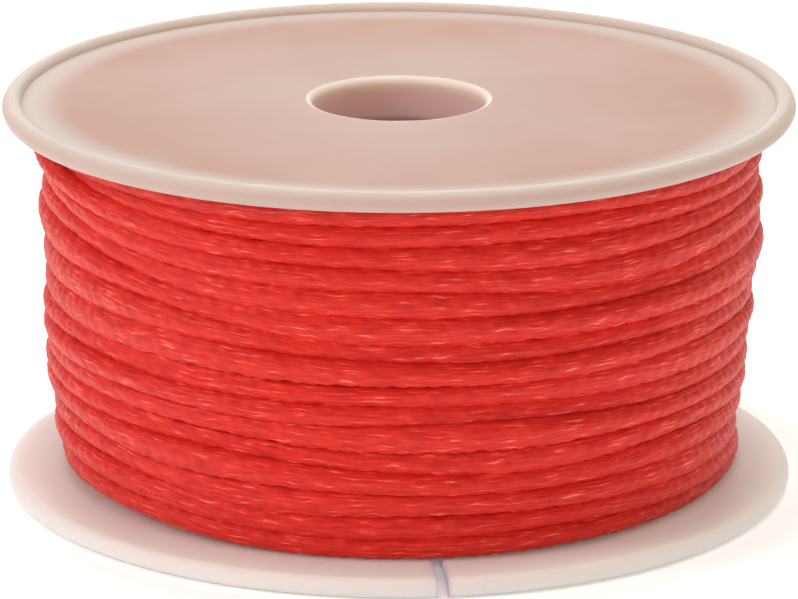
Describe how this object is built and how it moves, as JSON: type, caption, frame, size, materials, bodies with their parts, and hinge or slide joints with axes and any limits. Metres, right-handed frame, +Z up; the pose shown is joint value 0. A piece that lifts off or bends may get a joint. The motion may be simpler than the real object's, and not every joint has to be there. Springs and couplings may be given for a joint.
{
  "type": "chalk line reel",
  "caption": "Flanged plastic refill reel fully wound with braided chalk line, with a through bore for a spindle and a line slot in the lower rim.",
  "frame": {"origin": "under the centre of the bore, on the plane that the lower rim stands on", "axes": "+Z up, along the bore, from the lower flange to the upper flange; +Y away from the side with the line slot"},
  "size_m": [0.075, 0.075, 0.0379],
  "materials": {
    "spool_plastic": "milky natural polypropylene, satin, see-through where thin",
    "braided_line": "coral red braided synthetic yarn, slightly shiny"
  },
  "bodies": {
    "root": {"hub_tube": "spool_plastic", "lower_flange": "spool_plastic", "upper_flange": "spool_plastic", "line_winding": "braided_line"}
  },
  "joints": []
}
